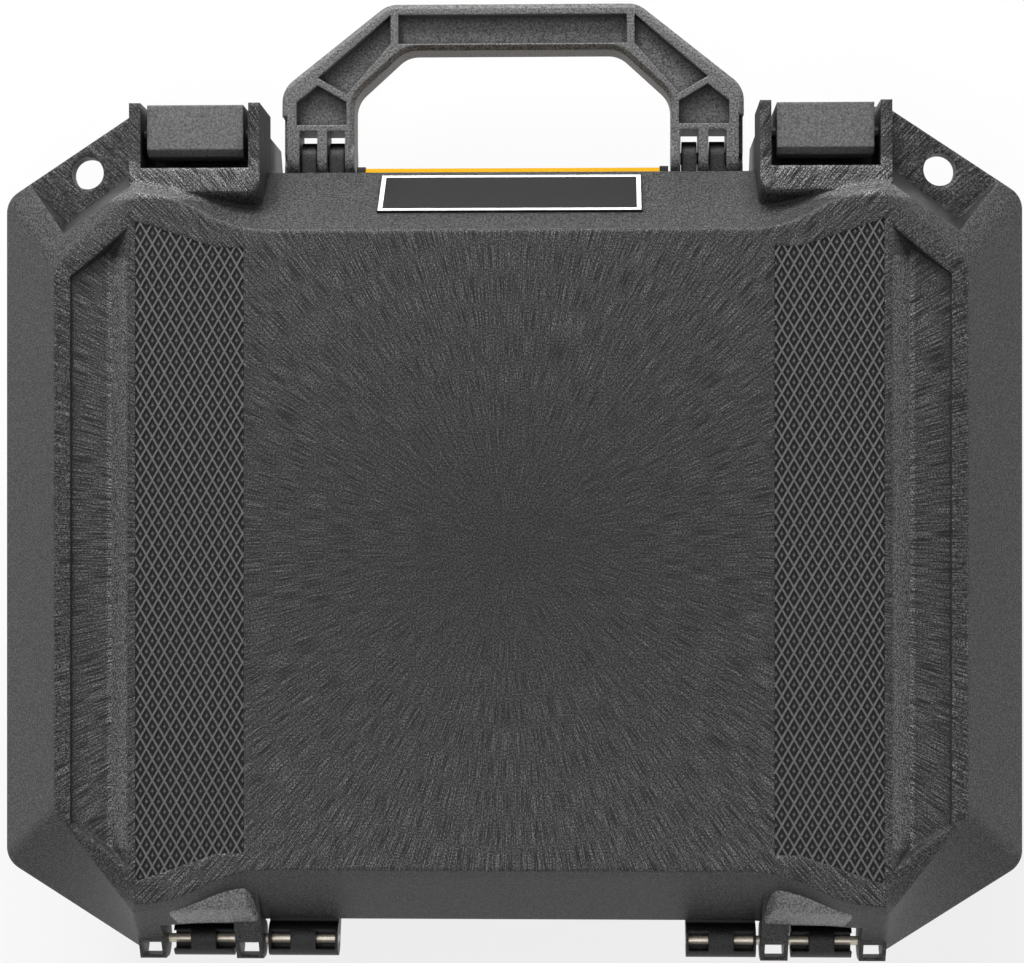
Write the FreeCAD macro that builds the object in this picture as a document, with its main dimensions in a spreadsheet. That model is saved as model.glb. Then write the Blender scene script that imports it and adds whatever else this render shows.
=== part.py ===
"""Hard case with a hinged lid: a parametric FreeCAD document, one object per physical piece."""

import math
import os
import re

import FreeCAD
import Part
import Sketcher

SIZES = {
    # case and rim outline at the parting plane
    "case_half_width": 165,
    "front_edge": 121.2,
    "back_edge": 121.6,
    "base_height": 88,
    "parting_gap": 0.3,
    "run_gap": 0.05,
    "cut_overrun": 30,
    "rim_mid_half_inset": 90,
    "front_chamfer_side_inset": 8.5,
    "front_chamfer_x_inset": 44,
    "front_chamfer_y_reach": 20.8,
    "back_chamfer_side_inset": 18.6,
    "back_chamfer_y_reach": 9.4,
    "rim_thickness": 3.5,
    # lid levels
    "lid_band": 4,
    "ridge_rise_inset": 4.5,
    "ridge_front_inset": 19.3,
    "ridge_back_inset": 16.7,
    "ridge_corner_x_inset": 46,
    "ridge_corner_front_inset": 7.7,
    "ridge_corner_back_inset": 5.6,
    "ridge_half_width_inset": 21,
    "ridge_side_front_inset": 33.2,
    "ridge_side_back_inset": 37.6,
    "crown_rise": 36,
    "crown_front_inset": 22.4,
    "crown_back_inset": 19.6,
    "crown_corner_x_inset": 47,
    "crown_corner_front_inset": 10.5,
    "crown_corner_back_inset": 8.6,
    "crown_half_width_inset": 46.4,
    "crown_side_front_inset": 21.2,
    "crown_side_back_inset": 24.6,
    # lid side panels and grip strips
    "panel_floor_inset": 5.5,
    "panel_inner_inset": 39,
    "panel_outer_inset": 26.5,
    "panel_inner_front_inset": 28.2,
    "panel_outer_front_inset": 36.2,
    "panel_inner_back_inset": 26.1,
    "panel_outer_back_inset": 33.6,
    "panel_flare": 1,
    "panel_facet": 6.5,
    "panel_facet_end": 7.5,
    "strip_depth": 0.7,
    "strip_inner_inset": 34.3,
    "strip_bend_inset": 26,
    "strip_outer_inset": 47.5,
    "strip_front_inset": 27.7,
    "strip_front_outer_inset": 19.2,
    "strip_back_inset": 24.6,
    "strip_back_outer_inset": 15.6,
    # padlock ears
    "ear_rise": 4.2,
    "ear_depth": 4,
    "ear_wall_lean": 12.5,
    "ear_corner_lean": 4,
    "ear_corner_lean_back": 9.5,
    "ear_side_lean": 2.8,
    "ear_hole_x_inset": 26.5,
    "ear_hole_y_reach": 0.2,
    "ear_hole_radius": 5.3,
    "ear_wall_in_x_inset": 36.3,
    "ear_wall_in_y_inset": 3.8,
    "ear_wall_out_x_inset": 20.2,
    "ear_wall_out_y_inset": 15.8,
    "ear_side_x_inset": 7.5,
    "ear_side_y_inset": 3.5,
    # hollow
    "tub_half_inset": 6,
    "tub_front_inset": 6,
    "tub_back_inset": 6,
    "tub_corner": 30,
    "tub_draft": 6,
    "tub_wall": 6,
    "floor": 4,
    "lid_hollow_rise_inset": 6,
    "lid_hollow_inset": 9,
    "lid_crown_wall": 4.5,
    "lid_crown_inset": 6.6,
    "gasket_inset": 2,
    "gasket_width": 4,
    "gasket_depth": 3,
    # latches
    "latch_x_inset": 65.25,
    "latch_boss_half": 20.75,
    "latch_boss_rise_inset": 6,
    "latch_boss_front_reach": 18.8,
    "latch_boss_back_inset": 9.2,
    "latch_boss_foot_inset": 18.2,
    "latch_boss_foot_rise_inset": 10,
    "notch_half": 17.15,
    "notch_back_inset": 1.8,
    "lever_half": 15.3,
    "lever_top_rise_inset": 2,
    "lever_front_reach": 18.4,
    "lever_back_reach": 2.3,
    "lever_chamfer": 2,
    "lever_hub_bottom_inset": 13,
    "lever_plate": 5,
    "lever_drop": 36,
    "lever_lip": 2.4,
    "lever_lip_height": 6,
    "latch_axis_y_reach": 9.8,
    "latch_axis_rise_inset": 8,
    "latch_pin_radius": 2,
    "latch_seat_front_reach": 11.8,
    "latch_seat_drop": 30,
    "latch_seat_foot": 48,
    "channel_half": 12,
    "channel_back_reach": 4.3,
    "keeper_half": 8,
    "keeper_drop": 1,
    "keeper_height": 3,
    "keeper_reach": 0.7,
    "button_drop": 14,
    "guide_half": 11,
    "guide_half_height": 9,
    "guide_back_reach": 5.3,
    "lever_skin": 3,
    "button_half": 7.2,
    "button_half_height": 5.2,
    "button_proud": 0.8,
    "button_gap": 0.3,
    "flange_half": 8.2,
    "flange_half_height": 6.2,
    "flange_thickness": 2,
    "retainer_thickness": 2,
    "spring_half": 5,
    "spring_crest_half": 1.8,
    "spring_thickness": 0.5,
    "spring_gap": 0.1,
    # handle
    "handle_side_gap": 3.2,
    "handle_inner_inset": 23.8,
    "handle_front_reach": 50.1,
    "handle_grip_back_reach": 35,
    "handle_top_half_inset": 34.8,
    "handle_shoulder_reach": 22.5,
    "handle_inner_top_half_inset": 40.8,
    "handle_inner_shoulder_reach": 19.5,
    "handle_axis_y_reach": 6.3,
    "handle_axis_z_inset": 12,
    "handle_half_thickness": 8,
    "handle_pin_radius": 2,
    "handle_round": 9,
    "handle_edge": 1.5,
    "grip_pocket_depth": 5,
    "grip_pocket_half_inset": 38.3,
    "grip_pocket_front_reach": 46.5,
    "grip_pocket_back_reach": 37,
    "grip_web": 2.5,
    "end_pocket_inner_inset": 21.3,
    "end_pocket_outer_inset": 4.8,
    "end_pocket_back_reach": 10.5,
    "end_pocket_inner_front_reach": 18,
    "end_pocket_mid_inset": 11.8,
    "end_pocket_front_reach": 23.5,
    "side_step": 1.7,
    "side_step_depth": 9,
    "side_step_front_reach": 13.5,
    "slot_front_reach": 8.5,
    "slot_half": 2.95,
    "slot_outer_x_inset": 8.7,
    "slot_inner_x_inset": 17.8,
    "lug_half": 2.45,
    "lug_radius": 5.5,
    "lug_web_drop": 9,
    # front strip and label
    "rail_half_inset": 1,
    "rail_front_reach": 0.8,
    "rail_lip_reach": 2.8,
    "rail_drop": 12,
    "front_strip_half_inset": 2.8,
    "front_strip_thickness": 1.5,
    "front_strip_height": 5.5,
    "label_half_inset": 9,
    "label_thickness": 0.5,
    "label_low_share": 0.1,
    "label_high_share": 0.82,
    # hinges
    "hinge_y_reach": 7,
    "hinge_pin_radius": 1.5,
    "barrel_radius": 5.5,
    "leg_radius": 5.8,
    "leg_a_inner_inset": 8.5,
    "leg_a_outer_inset": 44.2,
    "leg_b_inner_inset": 8.8,
    "leg_b_outer_inset": 1.3,
    "knuckle_a_inner_inset": 19.5,
    "knuckle_a_outer_inset": 2.2,
    "knuckle_b_inner_inset": 22.6,
    "knuckle_b_outer_inset": 1.3,
    "knuckle_web_drop": 16,
    "fairing_front_inset": 23.6,
    "fairing_front_rise_inset": 8.5,
    "fairing_brow_inset": 14.1,
    "fairing_brow_rise_inset": 17,
    "fairing_gap_front_inset": 6.7,
    "leg_window_half": 3.1,
    "leg_window_back_reach": 4.8,
    "pin_window": 6.4,
    "pin_window_half": 3,
    "pin_window_drop": 0.5,
    "pin_window_collar": 4.1,
    # diagonal ribs in the grip strips, and rounded edges
    "strip_rib_pitch": 27,
    "strip_rib_start": 9.4,
    "strip_rib_width": 0.45,
    "strip_rib_rise": 0.6,
    "strip_rib_slope_share": 1.7763,
    "corner_round": 8,
    "boss_round": 4,
}

# sizes that follow from others, in the order in which they build on each other
DERIVED = {
    "rim_mid_half": "case_half_width - rim_mid_half_inset",
    "front_chamfer_x": "case_half_width - front_chamfer_x_inset",
    "ridge_corner_x": "case_half_width - ridge_corner_x_inset",
    "ridge_half_width": "case_half_width - ridge_half_width_inset",
    "crown_corner_x": "case_half_width - crown_corner_x_inset",
    "crown_half_width": "case_half_width - crown_half_width_inset",
    "panel_inner": "case_half_width - panel_inner_inset",
    "panel_outer": "case_half_width - panel_outer_inset",
    "strip_outer": "case_half_width - strip_outer_inset",
    "ear_hole_x": "case_half_width - ear_hole_x_inset",
    "ear_wall_in_x": "case_half_width - ear_wall_in_x_inset",
    "ear_wall_out_x": "case_half_width - ear_wall_out_x_inset",
    "ear_side_x": "case_half_width - ear_side_x_inset",
    "tub_half": "case_half_width - tub_half_inset",
    "latch_x": "case_half_width - latch_x_inset",
    "leg_a_outer": "case_half_width - leg_a_outer_inset",
    "strip_bend": "strip_outer - strip_bend_inset",
    "strip_inner": "strip_outer - strip_inner_inset",
    "leg_a_inner": "leg_a_outer - leg_a_inner_inset",
    "knuckle_a_outer": "leg_a_inner - knuckle_a_outer_inset",
    "knuckle_a_inner": "knuckle_a_outer - knuckle_a_inner_inset",
    "leg_b_outer": "knuckle_a_inner - leg_b_outer_inset",
    "leg_b_inner": "leg_b_outer - leg_b_inner_inset",
    "knuckle_b_outer": "leg_b_inner - knuckle_b_outer_inset",
    "knuckle_b_inner": "knuckle_b_outer - knuckle_b_inner_inset",
    "handle_half": "latch_x - latch_boss_half - handle_side_gap",
    "handle_inner": "handle_half - handle_inner_inset",
    "handle_top_half": "handle_half - handle_top_half_inset",
    "handle_inner_top_half": "handle_half - handle_inner_top_half_inset",
    "grip_pocket_half": "handle_half - grip_pocket_half_inset",
    "end_pocket_inner": "handle_half - end_pocket_inner_inset",
    "end_pocket_outer": "handle_half - end_pocket_outer_inset",
    "end_pocket_mid": "handle_half - end_pocket_mid_inset",
    "slot_outer_x": "handle_half - slot_outer_x_inset",
    "slot_inner_x": "handle_half - slot_inner_x_inset",
    "rail_half": "handle_inner - rail_half_inset",
    "front_strip_half": "rail_half - front_strip_half_inset",
    "label_half": "rail_half - label_half_inset",
    "front_chamfer_side": "front_edge - front_chamfer_side_inset",
    "front_chamfer_y": "front_edge + front_chamfer_y_reach",
    "ridge_front": "front_edge - ridge_front_inset",
    "ridge_corner_front": "front_edge - ridge_corner_front_inset",
    "ridge_side_front": "front_edge - ridge_side_front_inset",
    "crown_front": "front_edge - crown_front_inset",
    "crown_corner_front": "front_edge - crown_corner_front_inset",
    "crown_side_front": "front_edge - crown_side_front_inset",
    "panel_inner_front": "front_edge - panel_inner_front_inset",
    "panel_outer_front": "front_edge - panel_outer_front_inset",
    "strip_front": "front_edge - strip_front_inset",
    "strip_front_outer": "front_edge - strip_front_outer_inset",
    "ear_hole_y": "front_edge + ear_hole_y_reach",
    "ear_wall_in_y": "front_edge - ear_wall_in_y_inset",
    "ear_wall_out_y": "front_edge - ear_wall_out_y_inset",
    "ear_side_y": "front_edge - ear_side_y_inset",
    "tub_front": "front_edge - tub_front_inset",
    "latch_boss_front": "front_edge + latch_boss_front_reach",
    "latch_boss_back": "front_edge - latch_boss_back_inset",
    "latch_boss_foot": "front_edge - latch_boss_foot_inset",
    "notch_back": "front_edge - notch_back_inset",
    "lever_front": "front_edge + lever_front_reach",
    "lever_back": "front_edge + lever_back_reach",
    "latch_axis_y": "front_edge + latch_axis_y_reach",
    "latch_seat_front": "front_edge + latch_seat_front_reach",
    "channel_back": "front_edge + channel_back_reach",
    "guide_back": "front_edge + guide_back_reach",
    "handle_axis_y": "front_edge + handle_axis_y_reach",
    "rail_front": "front_edge + rail_front_reach",
    "rail_lip": "front_edge + rail_lip_reach",
    "handle_front": "handle_axis_y + handle_front_reach",
    "handle_grip_back": "handle_axis_y + handle_grip_back_reach",
    "handle_shoulder": "handle_axis_y + handle_shoulder_reach",
    "handle_inner_shoulder": "handle_axis_y + handle_inner_shoulder_reach",
    "grip_pocket_front": "handle_axis_y + grip_pocket_front_reach",
    "grip_pocket_back": "handle_axis_y + grip_pocket_back_reach",
    "end_pocket_back": "handle_axis_y + end_pocket_back_reach",
    "end_pocket_inner_front": "handle_axis_y + end_pocket_inner_front_reach",
    "end_pocket_front": "handle_axis_y + end_pocket_front_reach",
    "side_step_front": "handle_axis_y + side_step_front_reach",
    "slot_front": "handle_axis_y + slot_front_reach",
    "back_chamfer_side": "back_edge - back_chamfer_side_inset",
    "back_chamfer_y": "back_edge + back_chamfer_y_reach",
    "ridge_back": "back_edge - ridge_back_inset",
    "ridge_corner_back": "back_edge - ridge_corner_back_inset",
    "ridge_side_back": "back_edge - ridge_side_back_inset",
    "crown_back": "back_edge - crown_back_inset",
    "crown_corner_back": "back_edge - crown_corner_back_inset",
    "crown_side_back": "back_edge - crown_side_back_inset",
    "panel_inner_back": "back_edge - panel_inner_back_inset",
    "panel_outer_back": "back_edge - panel_outer_back_inset",
    "strip_back": "back_edge - strip_back_inset",
    "strip_back_outer": "back_edge - strip_back_outer_inset",
    "tub_back": "back_edge - tub_back_inset",
    "hinge_y": "back_edge + hinge_y_reach",
    "fairing_front": "hinge_y - fairing_front_inset",
    "fairing_brow": "hinge_y - fairing_brow_inset",
    "fairing_gap_front": "hinge_y - fairing_gap_front_inset",
    "leg_window_back": "hinge_y + leg_window_back_reach",
    "handle_axis_z": "base_height - handle_axis_z_inset",
    "ridge_rise": "crown_rise - ridge_rise_inset",
    "panel_floor": "crown_rise - panel_floor_inset",
    "latch_boss_rise": "crown_rise - latch_boss_rise_inset",
    "fairing_front_rise": "crown_rise - fairing_front_rise_inset",
    "fairing_brow_rise": "crown_rise - fairing_brow_rise_inset",
    "lid_hollow_rise": "ridge_rise - lid_hollow_rise_inset",
    "latch_boss_foot_rise": "latch_boss_rise - latch_boss_foot_rise_inset",
    "lever_top_rise": "latch_boss_rise - lever_top_rise_inset",
    "lever_hub_bottom": "lever_top_rise - lever_hub_bottom_inset",
    "latch_axis_rise": "lever_top_rise - latch_axis_rise_inset",
}

doc = FreeCAD.newDocument("HardCase")
sheet = doc.addObject("Spreadsheet::Sheet", "sizes")
CELLS = {alias: str(size) for alias, size in SIZES.items()}
CELLS.update({alias: f"={formula}" for alias, formula in DERIVED.items()})
for row, (alias, content) in enumerate(CELLS.items(), start=1):
    sheet.set(f"A{row}", alias)
    sheet.set(f"B{row}", content)
    sheet.setAlias(f"B{row}", alias)
doc.recompute()


def bound(text):
    """Return an expression with every alias in it pointing at the sheet."""
    def point(match):
        word = match.group()
        return f"sizes.{word}" if word in CELLS else word

    return re.sub(r"[a-z][a-z_0-9]*", point, text)


def value(text):
    """Return the present value of an expression of aliases."""
    return float(sheet.evalExpression(bound(text)))


def add_body(label):
    """Add an empty body whose label names its file."""
    body = doc.addObject("PartDesign::Body", label)
    body.Label = label
    return body


def add_sketch(body, role, offset="0"):
    """Add a sketch on one of the body's own origin planes, moved along its normal."""
    sketch = body.newObject("Sketcher::SketchObject", f"{body.Label}_sketch")
    plane = next(item for item in body.Origin.OriginFeatures if item.Role == role)
    sketch.AttachmentSupport = [(plane, "")]
    sketch.MapMode = "FlatFace"
    sketch.setExpression("AttachmentOffset.Base.z", bound(offset))
    return sketch


def place(sketch, index, end, position):
    """Fix one end of an edge at a position given by two expressions."""
    for kind, axis, text in zip(("DistanceX", "DistanceY"), (-2, -1), position):
        if text == "0":
            sketch.addConstraint(Sketcher.Constraint("PointOnObject", index, end, axis))
            continue
        number = sketch.addConstraint(Sketcher.Constraint(kind, -1, 1, index, end, value(text)))
        sketch.setExpression(f"Constraints[{number}]", bound(text))


def add_outline(sketch, points, arcs=None):
    """Draw a closed outline through points; arcs gives the centre x of edges that are arcs."""
    arcs = arcs or {}
    base = sketch.GeometryCount
    spots = [FreeCAD.Vector(value(x), value(y), 0) for x, y in points]
    ends = []
    for index, start in enumerate(spots):
        stop = spots[(index + 1) % len(spots)]
        if index not in arcs:
            sketch.addGeometry(Part.LineSegment(start, stop))
            ends.append((1, 2))
            continue
        x = value(arcs[index])
        rise = (stop.x - x) ** 2 - (start.x - x) ** 2 + stop.y ** 2 - start.y ** 2
        centre = FreeCAD.Vector(x, rise / (2 * (stop.y - start.y)), 0)
        turn = (start - centre).cross(stop - centre).z
        first, last = (start, stop) if turn > 0 else (stop, start)
        angles = [math.atan2(spot.y - centre.y, spot.x - centre.x) for spot in (first, last)]
        circle = Part.Circle(centre, FreeCAD.Vector(0, 0, 1), (start - centre).Length)
        sketch.addGeometry(Part.ArcOfCircle(circle, *angles))
        ends.append((1, 2) if turn > 0 else (2, 1))
    for index, position in enumerate(points):
        before = index - 1 if index else len(points) - 1
        sketch.addConstraint(
            Sketcher.Constraint(
                "Coincident", base + before, ends[before][1], base + index, ends[index][0]
            )
        )
        place(sketch, base + index, ends[index][0], position)
        if index in arcs:
            number = sketch.addConstraint(
                Sketcher.Constraint("DistanceX", -1, 1, base + index, 3, value(arcs[index]))
            )
            sketch.setExpression(f"Constraints[{number}]", bound(arcs[index]))


def mirrored(points):
    """Return the right half of an outline, front to back, and its mirror image."""
    return points + [(f"-({x})", y) for x, y in reversed(points)]


def swept_section(names):
    """Return the outline of one lid level: straight middles, swept out to its corners.

    Args:
        names: aliases of front, back, corner x, corner front and back, half width, side ends.
    """
    front, back, corner, corner_front, corner_back, half, side_front, side_back = names
    right = [
        ("rim_mid_half", f"-{front}"),
        (f"(rim_mid_half + {corner}) / 2", f"-({front} + {corner_front}) / 2"),
        (corner, f"-{corner_front}"),
        (half, f"-{side_front}"),
        (half, side_back),
        (corner, corner_back),
        (f"(rim_mid_half + {corner}) / 2", f"({back} + {corner_back}) / 2"),
        ("rim_mid_half", back),
    ]
    arcs = {0: "rim_mid_half", 1: corner, 5: corner, 6: "rim_mid_half"}
    arcs.update({14 - index: f"-({x})" for index, x in arcs.items()})
    return mirrored(right), arcs


def octagon(half, front, back, inset="0"):
    """Return an eight-sided outline with even corner cuts, moved inward by inset."""
    corner = f"({half}) - ({inset}) - tub_corner"
    return mirrored([
        (corner, f"-(({front}) - ({inset}))"),
        (f"({half}) - ({inset})", f"-(({front}) - ({inset}) - tub_corner)"),
        (f"({half}) - ({inset})", f"({back}) - ({inset}) - tub_corner"),
        (corner, f"({back}) - ({inset})"),
    ])


def box_points(left, right, low, high):
    """Return the corners of a rectangle."""
    return [(left, low), (right, low), (right, high), (left, high)]


def pair(points):
    """Return an outline and its mirror image across the middle of the case."""
    return [points, [(f"-({x})", y) for x, y in reversed(points)]]


def add_circle(sketch, x, y, radius):
    """Add a circle whose centre and radius are expressions."""
    centre = FreeCAD.Vector(value(x), value(y), 0)
    circle = Part.Circle(centre, FreeCAD.Vector(0, 0, 1), value(radius))
    index = sketch.addGeometry(circle)
    place(sketch, index, 3, (x, y))
    number = sketch.addConstraint(Sketcher.Constraint("Radius", index, value(radius)))
    sketch.setExpression(f"Constraints[{number}]", bound(radius))


def drawn(body, role, offset, outlines=(), circles=()):
    """Return a sketch with outlines and circles on an origin plane of the body."""
    sketch = add_sketch(body, role, offset)
    for points in outlines:
        add_outline(sketch, points)
    for circle in circles:
        add_circle(sketch, *circle)
    return sketch


def pad(body, sketch, length):
    """Pad a sketch along its normal."""
    feature = body.newObject("PartDesign::Pad", f"{body.Label}_pad")
    feature.Profile = sketch
    feature.setExpression("Length", bound(length))
    return feature


def cut(body, sketch, length):
    """Pocket a sketch along its normal, the way a pad would go."""
    feature = body.newObject("PartDesign::Pocket", f"{body.Label}_pocket")
    feature.Profile = sketch
    feature.Reversed = True
    feature.setExpression("Length", bound(length))
    return feature


def loft(body, kind, sketches):
    """Add a ruled loft through sketches; kind is Additive or Subtractive."""
    feature = body.newObject(f"PartDesign::{kind}Loft", f"{body.Label}_loft")
    feature.Profile = sketches[0]
    feature.Sections = sketches[1:]
    feature.Ruled = True
    return feature


def mirror(body, features):
    """Mirror features across the middle plane of the case."""
    feature = body.newObject("PartDesign::Mirrored", f"{body.Label}_mirrored")
    feature.Originals = features
    plane = next(item for item in body.Origin.OriginFeatures if item.Role == "YZ_Plane")
    feature.MirrorPlane = (plane, [""])
    body.Tip = feature
    return feature


def is_upright(edge):
    """Tell whether an edge is a straight line along the height of the case."""
    rise = edge.Vertexes[-1].Point - edge.Vertexes[0].Point
    return edge.Curve.TypeId == "Part::GeomLine" and rise.Length > 0 and abs(rise.z) == rise.Length


def is_level(edge):
    """Tell whether all of an edge lies at one height."""
    box = edge.BoundBox
    return math.isclose(box.ZMin, box.ZMax, rel_tol=1e-6)


def at_handle_axis(edge):
    """Tell whether an edge lies in the plane of the handle's pivot."""
    return math.isclose(edge.CenterOfMass.y, -value("handle_axis_y"), rel_tol=1e-6)


def dress_edges(body, kind, size, amount, wanted):
    """Fillet or chamfer every edge of the body's present tip that wanted accepts."""
    doc.recompute()
    tip = body.Tip
    names = [f"Edge{n}" for n, edge in enumerate(tip.Shape.Edges, start=1) if wanted(edge)]
    feature = body.newObject(f"PartDesign::{kind}", f"{body.Label}_{kind.lower()}")
    feature.Base = (tip, names)
    feature.setExpression(size, bound(amount))
    doc.recompute()
    return feature


def round_edges(body, radius, wanted):
    """Fillet the edges of the body that wanted accepts."""
    return dress_edges(body, "Fillet", "Radius", radius, wanted)


def chamfer_edges(body, size, wanted):
    """Chamfer the edges of the body that wanted accepts."""
    return dress_edges(body, "Chamfer", "Size", size, wanted)


RIM = (
    "front_edge", "back_edge", "front_chamfer_x", "front_chamfer_y", "back_chamfer_y",
    "case_half_width", "front_chamfer_side", "back_chamfer_side",
)
RIDGE = (
    "ridge_front", "ridge_back", "ridge_corner_x", "ridge_corner_front", "ridge_corner_back",
    "ridge_half_width", "ridge_side_front", "ridge_side_back",
)
CROWN = (
    "crown_front", "crown_back", "crown_corner_x", "crown_corner_front", "crown_corner_back",
    "crown_half_width", "crown_side_front", "crown_side_back",
)
LID_BOTTOM = "base_height + parting_gap"


def at_rise(rise):
    """Return the height of a level given from the parting plane."""
    return f"base_height + {rise}"


def level_sketch(body, names, height):
    """Draw one swept outline at a height."""
    sketch = add_sketch(body, "XY_Plane", height)
    add_outline(sketch, *swept_section(names))
    return sketch


lid = add_body("lid_shell")
pad(lid, level_sketch(lid, RIM, LID_BOTTOM), "lid_band - parting_gap")
loft(lid, "Additive", [
    level_sketch(lid, RIM, at_rise("lid_band")),
    level_sketch(lid, RIDGE, at_rise("ridge_rise")),
    level_sketch(lid, CROWN, at_rise("crown_rise")),
])


def is_side_corner(edge):
    """Tell whether an edge is one of the rim's upright corners at the sides of the case."""
    ends = [abs(vertex.X) for vertex in edge.Vertexes]
    return is_upright(edge) and math.isclose(min(ends), value("case_half_width"), rel_tol=1e-6)


def is_side_slope(edge):
    """Tell whether an edge runs down from the ridge to a corner of the rim at a side."""
    ends = sorted(abs(vertex.X) for vertex in edge.Vertexes)
    wanted = value("ridge_half_width"), value("case_half_width")
    return len(ends) == 2 and all(math.isclose(*two, rel_tol=1e-6) for two in zip(ends, wanted))


round_edges(lid, "corner_round", lambda edge: is_side_corner(edge) or is_side_slope(edge))

# side panels: a pocket whose inner wall is a long facet below the grip strip
panel_foot = [
    ("panel_inner", "-panel_inner_front"),
    ("panel_outer", "-panel_outer_front"),
    ("panel_outer", "panel_outer_back"),
    ("panel_inner", "panel_inner_back"),
]
panel_mouth = [
    ("panel_inner - panel_facet", "-(panel_inner_front + panel_facet_end)"),
    ("panel_outer + panel_flare", "-panel_outer_front"),
    ("panel_outer + panel_flare", "panel_outer_back"),
    ("panel_inner - panel_facet", "panel_inner_back + panel_facet_end"),
]
panel = loft(lid, "Subtractive", [
    drawn(lid, "XY_Plane", at_rise("panel_floor"), [panel_foot]),
    drawn(lid, "XY_Plane", at_rise("crown_rise"), [panel_mouth]),
])
mirror(lid, [panel])

# padlock ears: flat floors with leaning walls, cut into the front corners
ear_floor = [
    ("front_chamfer_x - panel_flare", "-(front_chamfer_y + cut_overrun)"),
    ("ear_side_x + cut_overrun", "-(ear_side_y + cut_overrun)"),
    ("ear_side_x", "-ear_side_y"),
    ("ear_wall_out_x", "-ear_wall_out_y"),
    ("ear_wall_in_x", "-ear_wall_in_y"),
    ("front_chamfer_x - panel_flare", "-(ear_wall_in_y + panel_facet)"),
]
ear_mouth = [
    ("front_chamfer_x - panel_flare", "-(front_chamfer_y + cut_overrun)"),
    ("ear_side_x + cut_overrun", "-(ear_side_y + cut_overrun)"),
    ("ear_side_x + ear_side_lean", "ear_side_lean - ear_side_y"),
    ("ear_wall_out_x - ear_corner_lean", "ear_corner_lean_back - ear_wall_out_y"),
    ("ear_wall_in_x", "ear_wall_lean - ear_wall_in_y"),
    ("front_chamfer_x - panel_flare", "ear_wall_lean - ear_wall_in_y - panel_facet"),
]
ear = loft(lid, "Subtractive", [
    drawn(lid, "XY_Plane", at_rise("ear_rise"), [ear_floor]),
    drawn(lid, "XY_Plane", at_rise("crown_rise"), [ear_mouth]),
])
mirror(lid, [ear])

# latch bosses: blocks with a sloping back that runs out on the crown
boss_side = [
    ("-latch_boss_front", LID_BOTTOM),
    ("-latch_boss_foot", LID_BOTTOM),
    ("-latch_boss_foot", at_rise("latch_boss_foot_rise")),
    ("-latch_boss_back", at_rise("latch_boss_rise")),
    ("-latch_boss_front", at_rise("latch_boss_rise")),
]
boss = pad(lid, drawn(lid, "YZ_Plane", "latch_x - latch_boss_half", [boss_side]),
           "2 * latch_boss_half")
mirror(lid, [boss])


def is_boss_corner(edge):
    """Tell whether an edge is the sloping inner corner at the back of a latch boss."""
    first, last = (vertex.Point for vertex in (edge.Vertexes[0], edge.Vertexes[-1]))
    inner = value("latch_x - latch_boss_half")
    at_inner = all(math.isclose(abs(point.x), inner, rel_tol=1e-6) for point in (first, last))
    slopes = abs(last.z - first.z) > 0 and abs(last.y - first.y) > 0
    straight = edge.Curve.TypeId == "Part::GeomLine"
    return at_inner and slopes and straight and max(first.y, last.y) > -value("latch_boss_back")


round_edges(lid, "boss_round", is_boss_corner)

# hinge fairings: raised blocks that carry the two lid legs of each hinge
fairing_side = [
    ("fairing_front", LID_BOTTOM),
    ("hinge_y", LID_BOTTOM),
    ("hinge_y + leg_radius", "base_height"),
    ("hinge_y + leg_radius", "base_height + leg_radius"),
    ("fairing_brow", at_rise("fairing_brow_rise")),
    ("fairing_front", at_rise("fairing_front_rise")),
]
fairing = pad(lid, drawn(lid, "YZ_Plane", "leg_b_inner", [fairing_side]),
              "leg_a_outer - leg_b_inner")
barrel = ("hinge_y", "base_height", "leg_radius")
leg = pad(lid, drawn(lid, "YZ_Plane", "leg_b_inner", circles=[barrel]), "leg_a_outer - leg_b_inner")
mirror(lid, [fairing, leg])

# hollow, grip strip recesses and gasket groove
loft(lid, "Subtractive", [
    drawn(lid, "XY_Plane", "base_height", [octagon("tub_half", "tub_front", "tub_back", "tub_wall")]),
    drawn(lid, "XY_Plane", at_rise("lid_hollow_rise"),
          [octagon("ridge_half_width", "ridge_front", "ridge_back", "lid_hollow_inset")]),
    drawn(lid, "XY_Plane", at_rise("crown_rise - lid_crown_wall"),
          [octagon("crown_half_width", "crown_front", "crown_back", "lid_crown_inset")]),
])
strip = [
    ("strip_inner", "-strip_front"),
    ("strip_bend", "-strip_front"),
    ("strip_outer", "-strip_front_outer"),
    ("strip_outer", "strip_back_outer"),
    ("strip_bend", "strip_back"),
    ("strip_inner", "strip_back"),
]
cut(lid, drawn(lid, "XY_Plane", at_rise("crown_rise - strip_depth"), pair(strip)), "cut_overrun")


def strip_rib(start):
    """Return the outline of one diagonal rib, cut off at the ends of its grip strip.

    Args:
        start: place of the rib along the inner edge of the strip.
    """
    slope = "strip_rib_slope_share"

    def corner(middle, x):
        y = f"({middle} + {slope} * ({x} - strip_inner))"
        for limit in ("-strip_front", "strip_back"):
            beyond = value(y) < value(limit) if limit.startswith("-") else value(y) > value(limit)
            if beyond:
                return f"strip_inner + ({limit} - {middle}) / {slope}", limit
        return x, y

    low, high = (f"({start} {way} strip_rib_width)" for way in "-+")
    return [corner(low, "strip_inner"), corner(low, "strip_outer"),
            corner(high, "strip_outer"), corner(high, "strip_inner")]


def strip_ribs():
    """Return the ribs of both grip strips."""
    run = value("strip_rib_slope_share * (strip_outer - strip_inner)")
    front, back = value("strip_front"), value("strip_back")
    margin = 2 * value("strip_rib_width")
    steps = math.ceil((front + back + run) / value("strip_rib_pitch"))
    outlines = []
    for step in range(-steps, steps + 1):
        start = f"(strip_rib_start + {step} * strip_rib_pitch)"
        if margin - front - run < value(start) < back - margin:
            outlines += pair(strip_rib(start))
    return outlines


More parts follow.
